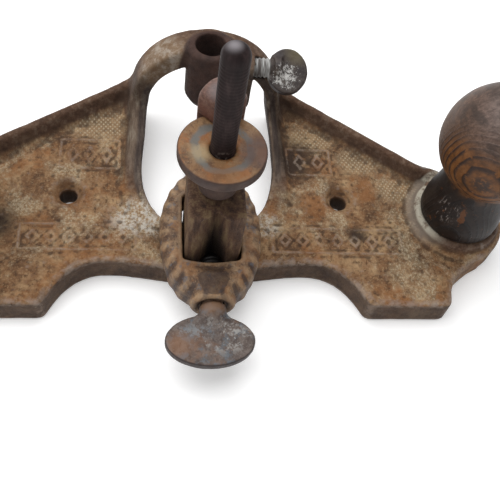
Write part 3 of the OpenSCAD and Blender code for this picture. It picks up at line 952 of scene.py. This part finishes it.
def collar_material():
    """Rust with a rope of tan strands, blue-grey flecks on them and dark between."""
    tree = weathered("rusty_collar", (66, 48, 38), (106, 80, 58), (146, 120, 92), patch=5, seed=31)
    tree.lay((136, 92, 54), tree.patches(6, 0.5, 0.6, 6, 0.7, seed=32), 0.5)
    ragged = tree.patches(2.5, 0.3, 0.5, 5, 0.7, seed=36)
    darker_in_front = tree.maths("ADD", tree.times(tree.span("Y", -6, -14), 0.4), 0.36)
    tree.lay((54, 41, 37), tree.painted("rope", 0.45, 0.1), ragged, darker_in_front)
    rubbed = tree.patches(2, 0.42, 0.56, 5, 0.7, seed=37)
    tree.lay((160, 132, 98), tree.painted("rope", 0.6, 0.9), rubbed, 0.4)
    tree.lay((84, 86, 92), tree.patches(2.2, 0.57, 0.63, detail=4, seed=33), 0.6)
    # Painted shade darkens the hollows
    tree.lay((52, 38, 32), tree.painted("hollow", 0.04, 0.35), 0.7)
    tree.lay((158, 132, 104), tree.painted("edge", 0.15, 0.5), 0.35)
    # Painted shade on faces turned sideways and down
    tree.lay((62, 47, 40), tree.facing_up(0.25, -0.2), 0.6)
    # Painted shadow, nearly black, on the steep faces inside the ring
    inside = tree.near(0, 0, 0, 12.6, soft=0.06, squash=(1.25, 1, 0))
    tree.lay((22, 16, 14), inside, tree.facing_up(0.5, 0.2), 0.9)
    tree.bumps((tree.noise(1.2, 6, 0.7, seed=34), 0.3))
    return tree.finish(tree.greys(tree.noise(2, seed=35), 0.75, 0.5))


def nut_material():
    """Orange-tan top with a broken blue-grey ring, and painted shade on the rim's side and outer edge."""
    tree = weathered("rusty_nut", (80, 56, 38), (118, 86, 56), (136, 108, 78), patch=6, seed=41)
    tree.lay((136, 82, 38), tree.patches(5, 0.5, 0.6, 6, 0.7, seed=42), 0.6)
    radius = tree.vector("LENGTH", tree.stretched((1, 1, 0)))
    wander = tree.maths("ADD", radius, tree.sway(tree.noise(7, seed=43), 5))
    ring = tree.times(tree.step(wander, 5.8 * MM, 6.6 * MM), tree.step(wander, 8.8 * MM, 7.6 * MM))
    tree.lay((92, 94, 92), ring, tree.patches(3, 0.28, 0.46, 4, 0.7, seed=44), 0.85)
    top = NUT_HIGH[2] - 0.1
    cream = tree.patches(3, 0.35, 0.5, seed=45)
    tree.lay((160, 140, 106), tree.near(-5.5, -1.5, top, 4.5, soft=0.8), cream, 0.7)
    tree.lay((76, 54, 46), tree.near(10.5, -1, top, 8.5, soft=0.6), 0.8)
    tree.lay((130, 88, 52), tree.near(0, -9.5, top, 5.5, soft=0.7, squash=(0.6, 1, 1)), 0.5)
    # Painted shade on the rim's side faces and round its outer edge
    dark = tree.shades(tree.noise(4, detail=5, seed=46), (0.35, 44, 34, 34), (0.65, 74, 58, 53))
    rim = tree.most(tree.facing_up(0.75, 0.45), tree.step(radius, 11.0 * MM, 11.5 * MM))
    tree.lay(dark, rim, 0.92)
    tree.bumps((tree.noise(1.5, 6, 0.7, seed=47), 0.12))
    return tree.finish(tree.greys(tree.noise(3, seed=48), 0.68, 0.45), specular=0.3)


def stud_material():
    """Nearly black steel, with a painted highlight on the tip and pale specks where it enters the nut."""
    tree = Tree("dark_stud")
    streak = tree.noise(3, 6, 0.7, seed=51, place=tree.stretched((1, 1, 0.3)))
    tree.base = tree.shades(streak, (0.33, 26, 18, 18), (0.5, 37, 27, 27), (0.66, 55, 43, 42))
    # Painted highlight on the domed tip
    tree.lay((136, 131, 134), tree.near(-0.6, 0.2, STUD_HIGH[2] - 0.4, 2.7, soft=0.95), 0.8)
    tree.lay((120, 110, 104), tree.near(0, -3.5, 54, 3, soft=0.8), tree.patches(1, 0.5, 0.62, seed=52), 0.6)
    tree.bumps((tree.noise(0.9, detail=5, seed=53), 0.08))
    return tree.finish(0.6, specular=0.15)


def thumbscrew_material():
    """Blue-grey patina with rust and pale patches on the oval head, painted shade on its side faces, and a
    black shaft.
    """
    tree = weathered("patinated_thumbscrew", (62, 50, 45), (88, 76, 70), (112, 102, 96), patch=5, seed=61)
    tree.lay((112, 78, 54), tree.patches(8, 0.5, 0.64, detail=5, seed=62), 0.6)
    tree.lay((88, 95, 102), tree.patches(4, 0.50, 0.60, 6, 0.7, seed=63), 0.75)
    top = CLAMP_Z + 1.5
    patches = tree.patches(3.2, 0.50, 0.57, 8, 0.75, seed=64)
    tree.lay((156, 154, 150), tree.near(2.5, -33, top, 10, soft=0.7, squash=(0.8, 1.3, 1)), patches, 0.7)
    patches = tree.patches(2.2, 0.49, 0.55, 8, 0.8, seed=67)
    tree.lay((124, 130, 134), tree.near(-5.5, -32.2, top, 7, soft=0.7, squash=(0.8, 2.2, 1)), patches, 0.6)
    tree.lay((126, 86, 54), tree.near(-9.5, -36, top, 6, soft=0.8), 0.55)
    tree.lay((124, 92, 66), tree.near(0, -23.5, top + 0.5, 5.2, soft=0.5), 0.7)
    # Painted shade on the head's steep side faces
    tree.lay((44, 34, 33), tree.facing_up(0.86, 0.6), tree.span("Y", -26, -28), 0.9)
    tree.lay((6, 4, 4), tree.span("Y", -17, -15), 0.98)
    tree.bumps((tree.noise(1.1, 6, 0.7, seed=65), 0.14))
    return tree.finish(tree.greys(tree.noise(2, seed=66), 0.62, 0.45), specular=0.3)


def rod_screw_material():
    """Dark disc with a cluster of pale specks and bright threads, and painted shade on its sideways and
    downward faces.
    """
    tree = weathered("dark_thumbscrew", (36, 28, 28), (52, 43, 40), (70, 61, 54), patch=4, seed=71)
    tree.lay((96, 86, 58), tree.near(28, 56, 36, 5.5, soft=0.8), 0.6)
    cluster = tree.near(24.2, 51, 29.5, 6.6, soft=0.6)
    speckle = tree.maths("ADD", tree.noise(1.8, 7, 0.9, seed=72), tree.times(cluster, 0.09))
    tree.lay((176, 174, 170), tree.step(speckle, 0.58, 0.62), tree.step(cluster, 0.1, 0.3))
    # Painted shade on faces turned sideways and down
    tree.lay((46, 37, 36), tree.facing_up(0.45, 0.1), 0.7)
    lines = tree.noise(0.7, 3, 0.6, seed=73, place=tree.stretched((1, 0.12, 0.12)))
    silver = tree.shades(lines, (0.38, 76, 70, 66), (0.58, 166, 166, 164))
    tree.lay(silver, tree.span("X", 19.6, 18.8))
    tree.bumps((tree.noise(0.9, 6, 0.7, seed=74), 0.12))
    return tree.finish(0.5, specular=0.35)


def cutter_material():
    """Reddish-brown steel with dark blotches, a grey painted highlight on the crest, and a bright edge on the
    foot.
    """
    top = CUTTER_HIGH[2]
    tree = weathered("rusty_cutter", (64, 42, 34), (96, 66, 54), (120, 90, 78), patch=4, seed=81)
    red = tree.span("Z", top - 3.5, top - 6.5)
    tree.lay((94, 55, 41), red, 0.6)
    tree.lay((62, 42, 36), red, tree.patches(3.5, 0.48, 0.6, 6, 0.75, seed=83), 0.7)
    # Painted highlight, grey, on the shank's domed crest
    tree.lay((104, 96, 96), tree.near(-1.5, SHANK_Y - 1, top - 0.5, 4.2, soft=0.7), 0.6)
    tree.lay((140, 132, 124), tree.span("Y", FOOT_BACK - 4, FOOT_BACK - 1), tree.span("Z", 6, 3), 0.6)
    tree.bumps((tree.noise(1.0, 6, 0.7, seed=82), 0.15))
    return tree.finish(0.55, specular=0.35)


def hidden_screw_material():
    """Dark steel for the knobs' screws."""
    tree = weathered("dark_screw", (44, 36, 34), (66, 56, 52), (92, 80, 72), patch=3, seed=91)
    tree.bumps((tree.noise(0.7, detail=5, seed=92), 0.06))
    return tree.finish(0.45, metallic=0.4, specular=0.45)


def knob_material(name, x):
    """Stained wood whose growth layers show as rings where they touch the ball's near side."""
    tree = Tree(name)
    inward = -math.copysign(1, x)
    facing = Vector((inward * 0.53, -0.845, -0.06)).normalized()
    along = tree.vector("DOT_PRODUCT", tree.away(x, KNOB_Y, BALL_Z), facing)
    layer = tree.maths("ADD", along, tree.sway(tree.noise(9, 3, 0.5, seed=101), 1.5))
    depth = tree.maths("DIVIDE", tree.maths("SUBTRACT", BALL_R * MM, layer), 1.2 * MM)
    phase = tree.maths("FRACT", depth)
    line = tree.times(tree.step(phase, 0.45, 0.8), tree.step(phase, 1.0, 0.9))
    lines = tree.times(line, tree.step(depth, 9, 5), tree.patches(1.6, 0.34, 0.48, detail=4, seed=103))
    patchy = tree.noise(2.5, 6, 0.75, seed=109)
    bright = tree.shades(patchy, (0.36, 66, 41, 20), (0.5, 98, 60, 27), (0.66, 116, 75, 38))
    fibre = tree.noise(0.5, 4, 0.7, seed=102, place=tree.stretched((0.10, 1, 1)))
    dull = tree.shades(fibre, (0.3, 52, 36, 27), (0.5, 78, 54, 38), (0.7, 100, 76, 58))
    tree.base = tree.mix(tree.step(depth, 7.5, 4.0), dull, bright)
    tree.lay((36, 24, 20), lines, 0.92)
    heart = tree.near(*(Vector((x, KNOB_Y, BALL_Z)) + BALL_R * facing), 4.4, soft=0.6)
    tree.lay((44, 31, 25), heart, tree.patches(1.0, 0.40, 0.52, detail=4, seed=110), 0.9)

    # The crown is worn, grey in front and brown behind
    grime = tree.noise(9, 6, 0.65, seed=104)
    lifted = tree.maths("ADD", tree.along("Z", tree.place), tree.sway(grime, 9))
    crown = tree.step(lifted, (BALL_Z + 3) * MM, (BALL_Z + 9) * MM)
    satin = tree.noise(0.7, 6, 0.75, seed=105, place=tree.stretched((0.10, 1, 1)))
    grey = tree.shades(satin, (0.36, 72, 59, 54), (0.62, 112, 98, 93))
    brown = tree.shades(satin, (0.36, 58, 40, 30), (0.62, 96, 70, 52))
    top_side = tree.near(x - inward * 3, KNOB_Y - 3, BALL_Z + 12, 21, soft=0.65)
    tree.lay(tree.mix(top_side, brown, grey), crown, 0.92)
    flattened = tree.stretched((0.35, 0.35, 1))
    smudge = tree.patches(3, 0.45, 0.60, 8, 0.75, seed=111, place=flattened)
    tree.lay((44, 34, 29), crown, smudge, 0.7)
    # Painted sheen on the front of the crown
    tree.lay((124, 112, 108), tree.near(x - inward * 1.5, KNOB_Y - 6, BALL_Z + 13, 9, soft=0.9), 0.5)

    # The base is nearly black, with scratches and a bare patch
    black = tree.step(lifted, (BALL_Z - 13) * MM, (BALL_Z - 17) * MM)
    soot = tree.noise(4, 6, 0.7, seed=106)
    tree.lay(tree.shades(soot, (0.36, 15, 11, 11), (0.6, 34, 28, 26)), black, 0.95)
    slanting = tree.stretched((1, 0.6, 0.15), turn=(0.2, 0.6, 0))
    scratches = tree.patches(0.6, 0.53, 0.60, 3, 0.7, seed=107, place=slanting)
    scraped = tree.near(x + inward * 9.5, KNOB_Y - 7.6, 23, 5.5, soft=0.6)
    tree.lay((150, 140, 134), black, scraped, scratches, 0.65)
    spot = tree.near(x + inward * 5.2, KNOB_Y - 10.6, 24.0, 4.0, soft=0.9, squash=(2.4, 1, 0.55))
    chipped = tree.maths("ADD", tree.times(spot, 0.3), tree.noise(2.5, 6, 0.7, seed=112))
    tree.lay((100, 59, 28), black, tree.step(chipped, 0.60, 0.68), 0.8)
    tree.bumps((fibre, 0.04), (lines, 0.12), (tree.noise(3, detail=5, seed=108), 0.12))
    return tree.finish(tree.greys(grime, 0.6, 0.42), specular=0.3)


# ---------------------------------------------------------------- the pieces on their bodies

def attach(piece, body, node, material):
    """Puts a piece on its body in place of its CAD node."""
    piece.data.materials.clear()
    piece.data.materials.append(material)
    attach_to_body(piece, body)
    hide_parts(node)


attach(make_casting(), "frame", "body_casting", cast_material())
attach(make_stud(), "frame", "adjusting_screw", stud_material())
attach(make_nut(), "nut", "adjusting_nut", nut_material())
ring = paint(field_object("collar", COLLAR_LOW, COLLAR_HIGH, 0.3, collar), "rope", rope_shade)
attach(ring, "collar", "clamp_collar", collar_material())
screw = field_object("collar_screw", *node_box("collar_thumbscrew"), 0.28, collar_thumbscrew)
attach(screw, "collar_screw", "collar_thumbscrew", thumbscrew_material())
screw = field_object("rod_screw", *node_box("depth_rod_thumbscrew"), 0.22, rod_thumbscrew)
attach(screw, "rod_screw", "depth_rod_thumbscrew", rod_screw_material())
blade = field_object("cutter_blade", CUTTER_LOW, CUTTER_HIGH, 0.35, cutter)
attach(blade, "cutter", "cutter", cutter_material())
for side, x, seed in (("left", -KNOB_X, 111), ("right", KNOB_X, 121)):
    knob = make_knob(f"{side}_knob_wood", x, seed)
    attach(knob, "frame", f"{side}_knob", knob_material(f"{side}_knob_finish", x))
screw_finish = hidden_screw_material()
for node in ("left_knob_screw", "right_knob_screw"):
    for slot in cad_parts[node].material_slots:
        slot.material = screw_finish


# ---------------------------------------------------------------- floor, light and camera, in metres

FLOOR_HALF = 3.0
CAMERA_PLACE = Vector((-0.017986, -0.117047, 0.192299))
CAMERA_AIM = Vector((0.01067, -0.00881, 0.020))
CAMERA_ROLL = math.radians(13.418)


def make_floor():
    """A plain pale floor that glows a little, so that it reads as white."""
    mesh = bpy.data.meshes.new("floor")
    corners = [(-1, -1), (1, -1), (1, 1), (-1, 1)]
    mesh.from_pydata([(x * FLOOR_HALF, y * FLOOR_HALF, 0) for x, y in corners], [], [(0, 1, 2, 3)])
    floor = link(bpy.data.objects.new("floor", mesh))
    tree = Tree("pale_floor")
    tree.base = colour(243, 243, 243)
    tree.put(tree.shader, {"Emission Color": (1, 1, 1, 1), "Emission Strength": 0.22})
    mesh.materials.append(tree.finish(0.9, specular=0.1))


def make_light(name, place, aim, size, power):
    light = bpy.data.lights.new(name, "AREA")
    light.size = size
    light.energy = power
    lamp = link(bpy.data.objects.new(name, light))
    lamp.location = place
    lamp.rotation_euler = (Vector(aim) - Vector(place)).to_track_quat("-Z", "Y").to_euler()


def make_camera():
    data = bpy.data.cameras.new("camera")
    data.sensor_width = 36
    data.lens = 51.61
    data.clip_start = 0.005
    camera = link(bpy.data.objects.new("camera", data))
    look = (CAMERA_AIM - CAMERA_PLACE).to_track_quat("-Z", "Y").to_matrix().to_4x4()
    camera.matrix_world = Matrix.Translation(CAMERA_PLACE) @ look @ Matrix.Rotation(CAMERA_ROLL, 4, "Z")
    bpy.context.scene.camera = camera


make_floor()
make_light("overhead", (-0.10, 0.25, 0.75), (0, 0.02, 0), 0.9, 7.4)
make_light("left_fill", (-0.8, -0.2, 0.5), (0, 0, 0.02), 0.6, 1.9)
make_camera()
scene = bpy.context.scene
scene.world = scene.world or bpy.data.worlds.new("world")
scene.world.use_nodes = True
sky = scene.world.node_tree.nodes["Background"]
sky.inputs["Color"].default_value = (1, 1, 1, 1)
sky.inputs["Strength"].default_value = 0.46
scene.view_settings.view_transform = "Standard"
